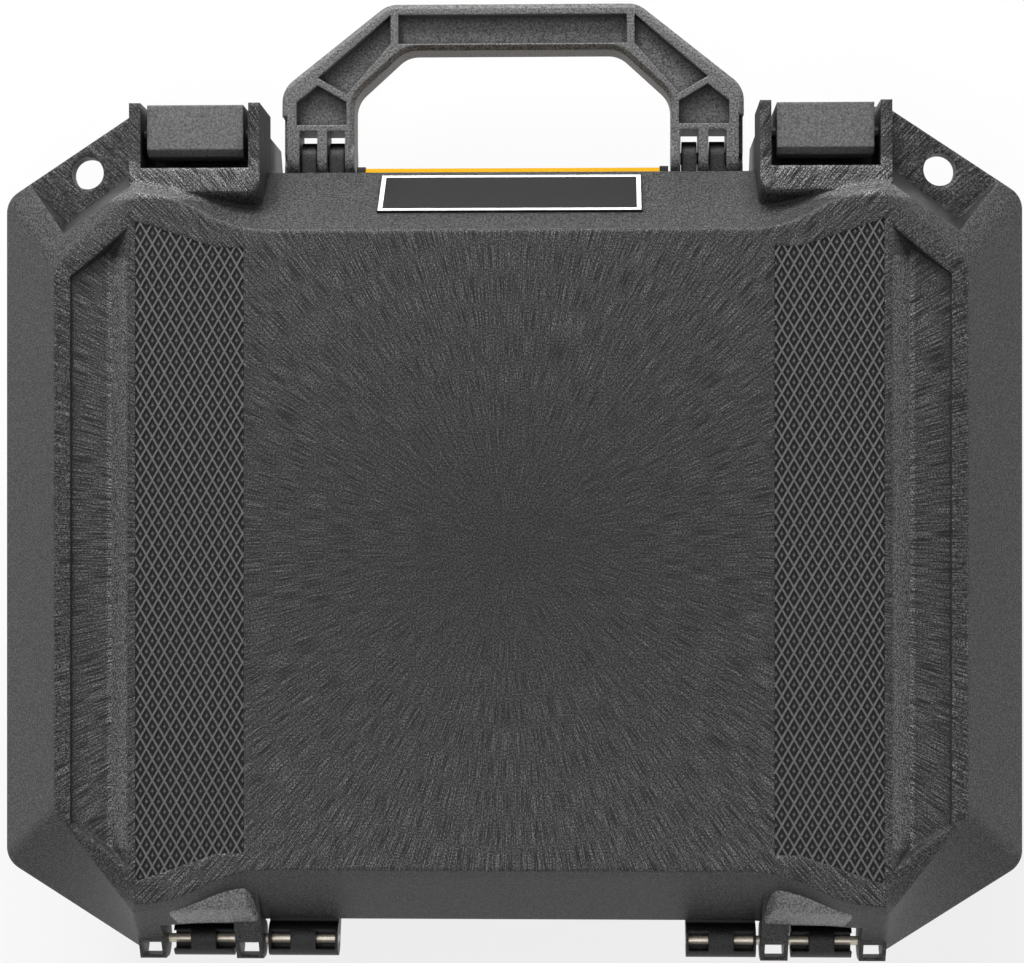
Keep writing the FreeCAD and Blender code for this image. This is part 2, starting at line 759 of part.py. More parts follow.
pad(lid, drawn(lid, "XY_Plane", at_rise("crown_rise - strip_depth"), strip_ribs()), "strip_rib_rise")

groove_rings = [
    octagon("tub_half", "tub_front", "tub_back", "gasket_inset - gasket_width"),
    octagon("tub_half", "tub_front", "tub_back", "gasket_inset"),
]
cut(lid, drawn(lid, "XY_Plane", LID_BOTTOM, groove_rings), "gasket_depth")

# openings through the lid: latch notches, knuckle gaps, leg windows, padlock holes and pin bores
notch = box_points("latch_x - notch_half", "latch_x + notch_half",
                   "-(latch_boss_front + cut_overrun)", "-notch_back")
cut(lid, drawn(lid, "XY_Plane", "base_height", pair(notch)), "crown_rise + cut_overrun")
gap = box_points("leg_b_outer", "leg_a_inner", "fairing_gap_front", "hinge_y + cut_overrun")
cut(lid, drawn(lid, "XY_Plane", "base_height - cut_overrun", pair(gap)), "2 * cut_overrun")
windows = []
for inner, outer in (("leg_a_inner", "leg_a_outer"), ("leg_b_inner", "leg_b_outer")):
    middle = f"({inner} + {outer}) / 2"
    windows += pair(box_points(f"{middle} - leg_window_half", f"{middle} + leg_window_half",
                               "hinge_y", "leg_window_back"))
cut(lid, drawn(lid, "XY_Plane", "base_height - cut_overrun", windows), "2 * cut_overrun")
ear_holes = [("ear_hole_x", "-ear_hole_y", "ear_hole_radius"),
             ("-ear_hole_x", "-ear_hole_y", "ear_hole_radius")]
cut(lid, drawn(lid, "XY_Plane", "base_height", circles=ear_holes), "crown_rise")
bores = [
    ("-latch_axis_y", at_rise("latch_axis_rise"), "latch_pin_radius"),
    ("hinge_y", "base_height", "hinge_pin_radius + run_gap"),
]
cut(lid, drawn(lid, "YZ_Plane", "-case_half_width", circles=bores), "2 * case_half_width")

# base: a drafted tub under a rim that follows the lid
base = add_body("base_shell")
TUB = ("tub_half", "tub_front", "tub_back")
loft(base, "Additive", [
    drawn(base, "XY_Plane", "0", [octagon(*TUB, "tub_draft")]),
    drawn(base, "XY_Plane", "base_height", [octagon(*TUB)]),
])
pad(base, level_sketch(base, RIM, "base_height - rim_thickness"), "rim_thickness")
round_edges(base, "corner_round", is_side_corner)
ear_block = [
    ("front_chamfer_x", "-front_chamfer_y"),
    ("ear_side_x", "-ear_side_y"),
    ("ear_wall_out_x", "-(ear_wall_out_y - cut_overrun)"),
    ("front_chamfer_x", "-(ear_wall_in_y - cut_overrun)"),
]
pad(base, drawn(base, "XY_Plane", "base_height - ear_depth", pair(ear_block)), "ear_depth")

# latch seats, each with an open channel for the lever's button housing and a keeper rib in it
seat_side = [
    ("-latch_seat_front", "base_height"),
    ("-latch_seat_front", "base_height - latch_seat_drop"),
    ("-(tub_front - tub_draft)", "base_height - latch_seat_foot"),
    ("-(tub_front - tub_draft)", "base_height"),
]
seat = pad(base, drawn(base, "YZ_Plane", "latch_x - latch_boss_half", [seat_side]),
           "2 * latch_boss_half")
mirror(base, [seat])
front_clear = box_points("latch_x - latch_boss_half", "latch_x + latch_boss_half",
                         "-(front_chamfer_y + cut_overrun)", "-latch_seat_front")
cut(base, drawn(base, "XY_Plane", "base_height - cut_overrun", pair(front_clear)), "2 * cut_overrun")
channel = box_points("latch_x - channel_half", "latch_x + channel_half",
                     "-(latch_seat_front + cut_overrun)", "-channel_back")
cut(base, drawn(base, "XY_Plane", "base_height - latch_seat_drop", pair(channel)),
    "latch_seat_drop + cut_overrun")
keeper = box_points("latch_x - keeper_half", "latch_x + keeper_half",
                    "-(channel_back + keeper_reach)", "-channel_back")
pad(base, drawn(base, "XY_Plane", "base_height - keeper_drop - keeper_height", pair(keeper)),
    "keeper_height")

# hinge knuckles on webs from the back wall
web_side = [
    ("tub_back - tub_draft", "base_height - knuckle_web_drop"),
    ("hinge_y", "base_height - barrel_radius"),
    ("hinge_y", "base_height"),
    ("tub_back - tub_draft", "base_height"),
]
web = pad(base, drawn(base, "YZ_Plane", "knuckle_b_inner", [web_side]),
          "knuckle_a_outer - knuckle_b_inner")
knuckle = pad(base, drawn(base, "YZ_Plane", "knuckle_b_inner",
                          circles=[("hinge_y", "base_height", "barrel_radius")]),
              "knuckle_a_outer - knuckle_b_inner")
mirror(base, [web, knuckle])
leg_gaps = pair(box_points("knuckle_b_outer", "knuckle_a_inner", "back_edge",
                           "hinge_y + cut_overrun"))
leg_gaps += pair(box_points("knuckle_a_outer", "case_half_width", "back_edge",
                            "hinge_y + cut_overrun"))
cut(base, drawn(base, "XY_Plane", "base_height - cut_overrun", leg_gaps), "2 * cut_overrun")
pin_windows = []
for inner, outer in (("knuckle_a_inner", "knuckle_a_outer"), ("knuckle_b_inner", "knuckle_b_outer")):
    middle = f"({inner} + {outer}) / 2"
    for near, far in ((f"{middle} + pin_window_collar", f"{middle} + pin_window_collar + pin_window"),
                      (f"{middle} - pin_window_collar - pin_window", f"{middle} - pin_window_collar")):
        pin_windows += pair(box_points(near, far, "hinge_y - pin_window_half",
                                       "hinge_y + pin_window_half"))
cut(base, drawn(base, "XY_Plane", "base_height - pin_window_drop", pin_windows), "cut_overrun")

# handle lugs and the rail of the front strip
lug_web = [
    ("-handle_axis_y", "handle_axis_z - lug_radius"),
    ("-(tub_front - tub_draft)", "handle_axis_z - lug_web_drop"),
    ("-(tub_front - tub_draft)", "handle_axis_z + lug_radius"),
    ("-handle_axis_y", "handle_axis_z + lug_radius"),
]
lugs = []
for middle in ("slot_inner_x", "slot_outer_x"):
    start = f"{middle} - lug_half"
    lugs.append(pad(base, drawn(base, "YZ_Plane", start, [lug_web]), "2 * lug_half"))
    eye = ("-handle_axis_y", "handle_axis_z", "lug_radius")
    lugs.append(pad(base, drawn(base, "YZ_Plane", start, circles=[eye]), "2 * lug_half"))
mirror(base, lugs)
rail = mirrored([
    ("front_strip_half", "-rail_front"),
    ("front_strip_half", "-rail_lip"),
    ("rail_half", "-rail_lip"),
    ("rail_half", "-(tub_front - tub_draft)"),
])
pad(base, drawn(base, "XY_Plane", "base_height - rail_drop", [rail]), "rail_drop - rim_thickness")

# hollow, padlock holes and pin bores
loft(base, "Subtractive", [
    drawn(base, "XY_Plane", "floor", [octagon(*TUB, "tub_draft + tub_wall")]),
    drawn(base, "XY_Plane", "base_height", [octagon(*TUB, "tub_wall")]),
])
cut(base, drawn(base, "XY_Plane", "0", circles=ear_holes), "base_height")
cut(base, drawn(base, "YZ_Plane", "-case_half_width",
                circles=[("hinge_y", "base_height", "hinge_pin_radius")]), "2 * case_half_width")
cut(base, drawn(base, "YZ_Plane", "-handle_half",
                circles=[("-handle_axis_y", "handle_axis_z", "handle_pin_radius")]),
    "2 * handle_half")

# gasket in the lid's groove
gasket = add_body("lid_gasket")
pad(gasket, drawn(gasket, "XY_Plane", LID_BOTTOM, groove_rings), "gasket_depth")

# carry handle: a bail with pocketed top and forked legs
handle = add_body("carry_handle")
bail = mirrored([
    ("handle_top_half", "-handle_front"),
    ("handle_half", "-handle_shoulder"),
    ("handle_half", "-handle_axis_y"),
    ("handle_inner", "-handle_axis_y"),
    ("handle_inner", "-handle_inner_shoulder"),
    ("handle_inner_top_half", "-handle_grip_back"),
])
pad(handle, drawn(handle, "XY_Plane", "handle_axis_z - handle_half_thickness", [bail]),
    "2 * handle_half_thickness")
round_edges(handle, "handle_round", lambda edge: is_upright(edge) and not at_handle_axis(edge))
chamfer_edges(handle, "handle_edge", lambda edge: is_level(edge) and not at_handle_axis(edge))
leg_end = ("-handle_axis_y", "handle_axis_z", "handle_half_thickness")
end = pad(handle, drawn(handle, "YZ_Plane", "handle_inner", circles=[leg_end]),
          "handle_half - handle_inner")
mirror(handle, [end])
handle_top = "handle_axis_z + handle_half_thickness"
grip_pocket = mirrored([
    ("grip_pocket_half", "-grip_pocket_front"),
    ("grip_pocket_half", "-grip_pocket_back"),
])
end_pocket = [
    ("end_pocket_inner", "-end_pocket_back"),
    ("end_pocket_inner", "-end_pocket_inner_front"),
    ("end_pocket_mid", "-end_pocket_front"),
    ("end_pocket_outer", "-end_pocket_inner_front"),
    ("end_pocket_outer", "-end_pocket_back"),
]
diagonal_pocket = [
    ("grip_pocket_half + grip_web", "-grip_pocket_front"),
    ("grip_pocket_half + grip_web", "-grip_pocket_back"),
    ("end_pocket_inner", "-(end_pocket_inner_front + grip_web)"),
    ("end_pocket_mid", "-(end_pocket_front + grip_web)"),
]
cut(handle, drawn(handle, "XY_Plane", f"{handle_top} - grip_pocket_depth",
                  [grip_pocket] + pair(end_pocket) + pair(diagonal_pocket)), "cut_overrun")
steps = pair(box_points("handle_half - side_step", "handle_half + cut_overrun",
                        "-side_step_front", "cut_overrun - handle_axis_y"))
cut(handle, drawn(handle, "XY_Plane", f"{handle_top} - side_step_depth", steps), "cut_overrun")
slots = []
for middle in ("slot_inner_x", "slot_outer_x"):
    slots += pair(box_points(f"{middle} - slot_half", f"{middle} + slot_half", "-slot_front",
                             "cut_overrun - handle_axis_y"))
cut(handle, drawn(handle, "XY_Plane", "0", slots), "base_height + cut_overrun")
cut(handle, drawn(handle, "YZ_Plane", "-case_half_width",
                  circles=[("-handle_axis_y", "handle_axis_z", "handle_pin_radius + run_gap")]),
    "2 * case_half_width")

# blank label plate on the front slope and the plain strip below the rim
label = add_body("front_label")
slope_y = "(front_edge - {share} * (front_edge - ridge_front))"
slope_z = "(base_height + lid_band + {share} * (ridge_rise - lid_band))"
low = slope_y.format(share="label_low_share"), slope_z.format(share="label_low_share")
high = slope_y.format(share="label_high_share"), slope_z.format(share="label_high_share")
label_side = [
    (f"-{low[0]}", low[1]),
    (f"-{high[0]}", high[1]),
    (f"-{high[0]} - label_thickness", f"{high[1]} + label_thickness"),
    (f"-{low[0]} - label_thickness", f"{low[1]} + label_thickness"),
]
pad(label, drawn(label, "YZ_Plane", "-label_half", [label_side]), "2 * label_half")
front_strip = add_body("front_strip")
strip_plate = box_points("-front_strip_half", "front_strip_half",
                         "-(rail_front + front_strip_thickness)", "-rail_front")
pad(front_strip, drawn(front_strip, "XY_Plane",
                       "base_height - rim_thickness - front_strip_height - parting_gap",
                       [strip_plate]), "front_strip_height")


def add_pin(label_text, start, length, y, z, radius):
    """Add a straight pin that lies along the width of the case."""
    pin = add_body(label_text)
    pad(pin, drawn(pin, "YZ_Plane", start, circles=[(y, z, radius)]), length)


def add_latch(side, centre):
    """Add one latch: its pin, lever, button, button spring and retainer."""
    button_z = "(base_height - button_drop)"
    axis = ("-latch_axis_y", at_rise("latch_axis_rise"))
    add_pin(f"latch_pin_{side}", f"{centre} - latch_boss_half", "2 * latch_boss_half",
            *axis, "latch_pin_radius")

    lever = add_body(f"latch_lever_{side}")
    foot = "base_height - lever_drop"
    profile = [
        ("-lever_front", at_rise("lever_top_rise")),
        ("-(lever_back + lever_chamfer)", at_rise("lever_top_rise")),
        ("-lever_back", at_rise("lever_top_rise - lever_chamfer")),
        ("-lever_back", at_rise("lever_hub_bottom")),
        ("-(lever_front - lever_plate)", at_rise("lever_hub_bottom - lever_plate")),
        ("-(lever_front - lever_plate)", foot),
        ("-(lever_front + lever_lip)", foot),
        ("-lever_front", f"{foot} + lever_lip_height"),
    ]
    pad(lever, drawn(lever, "YZ_Plane", f"{centre} - lever_half", [profile]), "2 * lever_half")

    def window(half, half_height):
        return box_points(f"{centre} - ({half})", f"{centre} + ({half})",
                          f"{button_z} - ({half_height})", f"{button_z} + ({half_height})")

    def along_y(body, points, depth):
        return drawn(body, "XZ_Plane", depth, [points])

    pad(lever, along_y(lever, window("guide_half", "guide_half_height"), "guide_back"),
        "lever_front - lever_skin - guide_back")
    cut(lever, along_y(lever, window("flange_half + button_gap", "flange_half_height + button_gap"),
                       "guide_back - cut_overrun"),
        "lever_front - lever_skin - guide_back + cut_overrun")
    cut(lever, along_y(lever, window("button_half + button_gap", "button_half_height + button_gap"),
                       "guide_back"), "cut_overrun")
    cut(lever, drawn(lever, "YZ_Plane", "-case_half_width",
                     circles=[(*axis, "latch_pin_radius + run_gap")]), "2 * case_half_width")

    button = add_body(f"latch_button_{side}")
    flange_front = "(lever_front - lever_skin - button_gap)"
    pad(button, along_y(button, window("flange_half", "flange_half_height"),
                        f"{flange_front} - flange_thickness"), "flange_thickness")
    pad(button, along_y(button, window("button_half", "button_half_height"), flange_front),
        f"lever_front + button_proud - {flange_front}")

    retainer = add_body(f"button_retainer_{side}")
    pad(retainer, along_y(retainer, window("flange_half + button_gap",
                                           "flange_half_height + button_gap"), "guide_back"),
        "retainer_thickness")

    spring = add_body(f"button_spring_{side}")
    seat_y = "(guide_back + retainer_thickness)"
    crest_y = f"({flange_front} - flange_thickness)"
    leaf = [
        (f"-{seat_y}", f"{button_z} - spring_half"),
        (f"-({crest_y} - spring_gap)", f"{button_z} - spring_crest_half"),
        (f"-({crest_y} - spring_gap)", f"{button_z} + spring_crest_half"),
        (f"-{seat_y}", f"{button_z} + spring_half"),
        (f"-{seat_y}", f"{button_z} + spring_half - spring_thickness"),
        (f"-({crest_y} - spring_gap - spring_thickness)",
         f"{button_z} + spring_crest_half - spring_thickness"),
        (f"-({crest_y} - spring_gap - spring_thickness)",
         f"{button_z} - spring_crest_half + spring_thickness"),
        (f"-{seat_y}", f"{button_z} - spring_half + spring_thickness"),
    ]
    pad(spring, drawn(spring, "YZ_Plane", f"{centre} - spring_half", [leaf]), "2 * spring_half")


for side, sign in (("left", "-"), ("right", "")):
    add_pin(f"hinge_pin_{side}", f"{sign}(knuckle_b_inner + leg_a_outer) / 2"
            " - (leg_a_outer - knuckle_b_inner) / 2", "leg_a_outer - knuckle_b_inner",
            "hinge_y", "base_height", "hinge_pin_radius")
    add_pin(f"handle_pin_{side}", f"{sign}(handle_inner + handle_half - side_step) / 2"
            " - (handle_half - handle_inner - side_step) / 2", "handle_half - handle_inner - side_step",
            "-handle_axis_y", "handle_axis_z", "handle_pin_radius")
    add_latch(side, f"{sign}latch_x")

doc.recompute()
os.makedirs("parts", exist_ok=True)
for body in doc.findObjects("PartDesign::Body"):
    for item in [body] + body.Group:
        if "Invalid" in item.State or "Error" in item.State:
            raise RuntimeError(f"{item.Name} did not compute: {item.getStatusString()}")
    if body.Shape.isNull() or not body.Shape.isValid():
        raise RuntimeError(f"{body.Label} has no valid shape")
    body.Shape.exportStep(f"parts/{body.Label}.step")
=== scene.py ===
"""Looks of the hard case: finishes, grip lattices, hinge fairings, springs, label border and studio."""

import logging
import math
from dataclasses import dataclass, field
from enum import Enum
from typing import Any

import bmesh
import bpy
from mathutils import Matrix, Vector


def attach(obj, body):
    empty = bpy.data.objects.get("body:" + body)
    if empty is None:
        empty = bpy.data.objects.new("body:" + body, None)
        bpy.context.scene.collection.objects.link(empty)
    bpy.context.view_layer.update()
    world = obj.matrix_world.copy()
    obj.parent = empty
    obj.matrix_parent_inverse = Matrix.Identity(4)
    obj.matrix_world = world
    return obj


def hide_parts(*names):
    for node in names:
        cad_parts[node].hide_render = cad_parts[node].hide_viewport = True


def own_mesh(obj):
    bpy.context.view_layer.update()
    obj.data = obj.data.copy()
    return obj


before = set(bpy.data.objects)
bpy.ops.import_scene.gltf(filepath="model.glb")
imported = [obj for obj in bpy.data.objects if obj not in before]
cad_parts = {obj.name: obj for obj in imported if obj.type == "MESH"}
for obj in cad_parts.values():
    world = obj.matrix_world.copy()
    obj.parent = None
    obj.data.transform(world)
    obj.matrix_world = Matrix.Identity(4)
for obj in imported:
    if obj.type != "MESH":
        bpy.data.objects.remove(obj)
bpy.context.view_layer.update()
LOG = logging.getLogger("hard_case")
MM = 0.001
# A tone multiplies a finish's colour; it stays between these two.
TONE_TOP = 16.0
TONE_FLOOR = 0.15
NOISE_MIDDLE = 0.5
# Numbers of the two colour inputs and of the colour output of a Mix node.
MIX_FROM, MIX_TO, MIX_RESULT = 6, 7, 2

Triple = tuple[float, float, float]
HighlightPatch = tuple[Triple, Triple, float]
Profile = tuple[tuple[float, float], ...]


class Slot(str, Enum):
    """Material slots of the record; no piece in this script uses them."""

    SHELL = "shell"
    LABEL = "label"
    PINS = "pins"


class Side(Enum):
    """Mirror sides of the case, with the sign of their x."""

    LEFT = -1
    RIGHT = 1

    @property
    def word(self) -> str:
        """Return the side as it stands in the names of nodes and joints."""
        return self.name.lower()


class Look(Enum):
    """The finishes that pieces can have."""

    LID = "lid"
    FAIRING = "fairing"
    BASE = "base"
    HANDLE = "handle"
    LEVER = "lever"
    LATTICE = "lattice"
    LABEL = "label"
    BORDER = "border"
    STRIP = "strip"
    GASKET = "gasket"
    BRIGHT_PIN = "bright_pin"
    DARK_PIN = "dark_pin"


@dataclass(frozen=True)
class Finish:
    """One surface finish; lengths are in metres.

    Args:
        colour: linear base colour.
        roughness: middle of the roughness.
        grain: size of the moulded grain.
        grain_depth: strength of the grain's bump.
        mottle: how far the colour wanders with the grain, as a share.
        metallic: 0 for plastic, 1 for metal.
        specular: level of the mirror-like share, 0.5 for common plastics.
        streaks: how far the colour wanders along the lid's radial flow lines, as a share; above 0 it also
            brings a painted sheen that grows outwards.
        edge: radius by which the shading softens the edges.
        edge_highlight: how much the softened edges lighten, as a painted highlight.
        corner_shade: reach within which corners and gaps darken with painted shade.
        crest_highlight: heights between which ridges lighten with a painted highlight, and by how much.
        highlight_patches: corners of boxes, taken on both sides, in which a painted highlight lightens
            the colour, and by how much.
    """

    colour: Triple
    roughness: float
    grain: float
    grain_depth: float
    mottle: float
    metallic: float = 0.0
    specular: float = 0.3
    streaks: float = 0.0
    edge: float = 0.0
    edge_highlight: float = 0.0
    corner_shade: float = 0.0
    crest_highlight: Triple | None = None
    highlight_patches: tuple[HighlightPatch, ...] = ()


FINISHES: dict[Look, Finish] = {
    Look.LID: Finish((0.0285, 0.0285, 0.029), 0.44, specular=0.2, grain=0.0005, grain_depth=0.9,
                     mottle=4.4, streaks=4.2, edge=0.002, edge_highlight=2.0, corner_shade=0.007,
                     # Painted highlights on the latch bosses' brows and in bands along the lid's sides.
                     highlight_patches=(((0.0, -0.1215, 0.1172), (0.13, -0.1085, 0.13), 1.4),
                              ((0.1207, -0.09, 0.1), (0.1278, 0.096, 0.13), 1.2))),
    # The hinge fairings are the lid's plastic made far lighter: a painted highlight.
    Look.FAIRING: Finish((0.2, 0.2, 0.202), 0.28, specular=0.5, grain=0.0006, grain_depth=0.9,
                         mottle=3.0, edge=0.0008),
    Look.BASE: Finish((0.02, 0.02, 0.0205), 0.45, specular=0.25, grain=0.0006, grain_depth=0.8,
                      mottle=3.2, edge=0.001, edge_highlight=1.0, corner_shade=0.006),
    Look.HANDLE: Finish((0.11, 0.11, 0.11), 0.5, grain=0.0006, grain_depth=0.8,
                        mottle=2.4, edge=0.0009, edge_highlight=1.0, corner_shade=0.003),
    Look.LEVER: Finish((0.1, 0.1, 0.1), 0.55, grain=0.0006, grain_depth=0.8,
                       mottle=1.4, edge=0.0009, edge_highlight=1.0, corner_shade=0.004),
    Look.LATTICE: Finish((0.014, 0.014, 0.0144), 0.4, specular=0.15, grain=0.0005, grain_depth=0.4,
                         mottle=0.8, edge=0.00015, crest_highlight=(0.12335, 0.12395, 8.0)),
    Look.LABEL: Finish((0.006, 0.006, 0.006), 0.4, grain=0.0005, grain_depth=0.15, mottle=0.6),
    Look.BORDER: Finish((0.72, 0.72, 0.72), 0.5, grain=0.0006, grain_depth=0.1, mottle=0.12),
    Look.STRIP: Finish((0.9, 0.48, 0.004), 0.6, grain=0.001, grain_depth=0.05, mottle=0.1),
    Look.GASKET: Finish((0.012, 0.012, 0.012), 0.8, grain=0.0008, grain_depth=0.3, mottle=0.8),
    Look.BRIGHT_PIN: Finish((0.95, 0.86, 0.72), 0.3, metallic=0.3, specular=0.5, grain=0.0004,
                            grain_depth=0.1, mottle=0.15),
    Look.DARK_PIN: Finish((0.015, 0.015, 0.016), 0.4, metallic=0.6, grain=0.0004,
                          grain_depth=0.1, mottle=0.4),
}


class Term:
    """A shader socket with arithmetic, so that node maths reads as formulas."""

    def __init__(self, graph: "Graph", socket: bpy.types.NodeSocket) -> None:
        """Hold a socket and the graph that it belongs to."""
        self.graph = graph
        self.socket = socket

    def maths(self, operation: str, *others: "Term | float") -> "Term":
        """Put this socket through one math node.

        Args:
            operation: name of the math operation.
            others: further operands.
        Returns:
            The node's output.
        """
        return self.graph.add("ShaderNodeMath", dict(enumerate((self, *others))), operation=operation)

    def within(self, low: float, high: float) -> "Term":
        """Return this socket held between two values."""
        return self.maths("MAXIMUM", low).maths("MINIMUM", high)

    def __add__(self, other: "Term | float") -> "Term":
        """Return the sum."""
        return self.maths("ADD", other)

    def __sub__(self, other: "Term | float") -> "Term":
        """Return the difference."""
        return self.maths("SUBTRACT", other)

    def __rsub__(self, other: float) -> "Term":
        """Return a number less this socket."""
        return self * -1.0 + other

    def __mul__(self, other: "Term | float") -> "Term":
        """Return the product."""
        return self.maths("MULTIPLY", other)

    def __pow__(self, other: float) -> "Term":
        """Return this socket raised to a power."""
        return self.maths("POWER", other)

    __radd__ = __add__
    __rmul__ = __mul__


class Graph:
    """A node tree to which nodes are added by their inputs."""

    def __init__(self, tree: bpy.types.NodeTree) -> None:
        """Hold the tree."""
        self.tree = tree

    def feed(self, socket: bpy.types.NodeSocket, source: Term | Any) -> None:
        """Link a term to a socket, or set the socket to a constant.

        Args:
            socket: input that is fed.
            source: term or constant.
        """
        if isinstance(source, Term):
            self.tree.links.new(source.socket, socket)
        else:
            socket.default_value = source

    def add(self, kind: str, inputs: dict[Any, Any] | None = None, output: int | str = 0,
            **settings: Any) -> Term:
        """Add one node.

        Args:
            kind: type of the node.
            inputs: terms or constants by the name or number of the input.
            output: name or number of the output that is wanted.
            settings: attributes of the node.
        Returns:
            The wanted output.
        """
        made = self.tree.nodes.new(kind)
        for name, setting in settings.items():
            setattr(made, name, setting)
        for key, source in (inputs or {}).items():
            self.feed(made.inputs[key], source)
        return Term(self, made.outputs[output])

    def parts(self, vector: Term) -> tuple[Term, Term, Term]:
        """Take a vector apart.

        Args:
            vector: socket of a vector.
        Returns:
            Its x, y and z.
        """
        first = self.add("ShaderNodeSeparateXYZ", {0: vector})
        outputs = first.socket.node.outputs
        return Term(self, outputs[0]), Term(self, outputs[1]), Term(self, outputs[2])

    def seen(self) -> Term:
        """Tell what the camera sees from other light.

        Returns:
            1 for what it sees directly, in gloss or through glass, and 0 for other light.
        """
        shown = self.add("ShaderNodeLightPath", output="Is Camera Ray")
        outputs = shown.socket.node.outputs
        for name in ("Is Glossy Ray", "Is Transmission Ray"):
            shown = shown.maths("MAXIMUM", Term(self, outputs[name]))
        return shown

    def noise(self, place: Term, scale: float, detail: float) -> Term:
        """Return a noise around its middle, at a scale per unit of the place."""
        return self.add("ShaderNodeTexNoise", {"Vector": place, "Scale": scale, "Detail": detail}, "Fac")


@dataclass
class Painter:
    """Makes one procedural material per finish and hands it out; lengths in metres.

    Args:
        made: materials that have been made.
        samples: rays of the nodes that look around a point.
        grain_detail: octaves of the grain.
        grain_relief: height of the grain's bump, as a share of its size.
        gloss_spread: how far the roughness wanders with the grain.
        flow_turns: flow lines per radian around the crown's middle.
        flow_length: breaks of the flow lines per metre of radius.
        flow_detail: octaves of the flow lines.
        flat_only: power that keeps the flow lines off the slopes.
        outer_gain: steepness with which the painted sheen and the painted highlight patches end at the
            walls.
        sheen_squeeze: weight of x against y in the distance that the sheen follows.
        sheen_reach: distance at which the sheen stops growing.
        sheen_gain: growth of the sheen per metre.
        sheen_lean: growth of the sheen per metre towards the hinges.
        sheen_start: painted shade in the crown's middle, where the painted sheen is least.
        corner_shade_power: sharpness of the painted shade in corners and gaps.
        corner_shade_floor: tone that the painted shade leaves in the deepest gap.
        edge_highlight_limit: turn of the normal, as one less its cosine, at which the painted edge
            highlight is full.
    """

    made: dict[Look, bpy.types.Material] = field(default_factory=dict)
    samples: int = 4
    grain_detail: float = 3.0
    grain_relief: float = 0.25
    gloss_spread: float = 0.25
    flow_turns: float = 420.0
    flow_length: float = 105.0
    flow_detail: float = 4.0
    flat_only: float = 8.0
    outer_gain: float = 4.0
    sheen_squeeze: float = 0.36
    sheen_reach: float = 0.11
    sheen_gain: float = 6.5
    sheen_lean: float = 1.4
    sheen_start: float = 0.24
    corner_shade_power: float = 1.6
    corner_shade_floor: float = 0.15
    edge_highlight_limit: float = 0.5

    def paint(self, obj: bpy.types.Object, look: Look) -> None:
        """Give an object a single finish, whose material is made on first use.

        Args:
            obj: piece to paint.
            look: finish that it gets.
        """
        if look not in self.made:
            self.made[look] = self._build(look.value, FINISHES[look])
        obj.data.materials.clear()
        obj.data.materials.append(self.made[look])

    def _build(self, name: str, finish: Finish) -> bpy.types.Material:
        """Make the material of a finish.

        Args:
            name: name of the material.
            finish: values of the finish.
        Returns:
            The material.
        """
        material = bpy.data.materials.new(name)
        material.use_nodes = True
        shader = material.node_tree.nodes["Principled BSDF"]
        shader.inputs["Base Color"].default_value = (*finish.colour, 1.0)
        shader.inputs["Roughness"].default_value = finish.roughness
        shader.inputs["Metallic"].default_value = finish.metallic
        shader.inputs["Specular IOR Level"].default_value = finish.specular
        self._texture(Graph(material.node_tree), shader, finish)
        return material

    def _texture(self, graph: Graph, shader: bpy.types.Node, finish: Finish) -> None:
        """Vary colour, roughness and normal of a finish.

        Args:
            graph: nodes of the material.
            shader: its surface shader.
            finish: values of the finish.
        """
        place = graph.add("ShaderNodeTexCoord", output="Object")
        grain = graph.noise(place, 1 / finish.grain, self.grain_detail)
        tone = self._flicker(grain, finish.mottle)
        # Flow lines, and a painted sheen: lighter towards the lid's rim and hinges, darker in the crown's
        # middle.
        if finish.streaks:
            tone = tone * self._flow_and_sheen(graph, place, finish.streaks)
        # Painted highlight on the lattice's ridges, growing with height.
        if finish.crest_highlight:
            tone = tone * self._crest_highlight(graph, place, *finish.crest_highlight)
        # Painted highlights in boxes: on the latch bosses' brows and in bands along the lid's sides.
        for lit_patch in finish.highlight_patches:
            tone = tone * self._highlight_patch(graph, place, *lit_patch)
        # Painted shade in corners and gaps, from ambient occlusion.
        if finish.corner_shade:
            tone = tone * self._corner_shade(graph, finish.corner_shade)
        bump = {"Strength": finish.grain_depth, "Distance": finish.grain * self.grain_relief,
                "Height": grain}
        if finish.edge:
            soft = graph.add("ShaderNodeBevel", {"Radius": finish.edge}, "Normal", samples=self.samples)
            bump["Normal"] = soft
            # Painted highlight along the edges.
            if finish.edge_highlight:
                tone = tone * self._edge_highlight(graph, soft, finish.edge_highlight)
        ends = {MIX_FROM: (0.0, 0.0, 0.0, 1.0),
                MIX_TO: (*(TONE_TOP * part for part in finish.colour), 1.0),
                "Factor": tone * (1 / TONE_TOP)}
        colour = graph.add("ShaderNodeMix", ends, MIX_RESULT, data_type="RGBA")
        rough = (grain - NOISE_MIDDLE) * self.gloss_spread + finish.roughness
        graph.feed(shader.inputs["Base Color"], colour)
        graph.feed(shader.inputs["Roughness"], rough)
        graph.feed(shader.inputs["Normal"], graph.add("ShaderNodeBump", bump, "Normal"))

    def _flicker(self, noise: Term, share: float | Term) -> Term:
        """Return a tone around 1 that follows a noise by a share."""
        return ((noise - NOISE_MIDDLE) * (2.0 * share) + 1.0).maths("MAXIMUM", TONE_FLOOR)

    def _upright(self, graph: Graph) -> Term:
        """Return 1 on faces that look up, and less on slopes down to 0 on walls and undersides."""
        return graph.parts(graph.add("ShaderNodeTexCoord", output="Normal"))[2].within(0.0, 1.0)

    def _outside(self, upright: Term) -> Term:
        """Return 1 on tops and slopes and 0 on walls and undersides."""
        return (upright * self.outer_gain).maths("MINIMUM", 1.0)

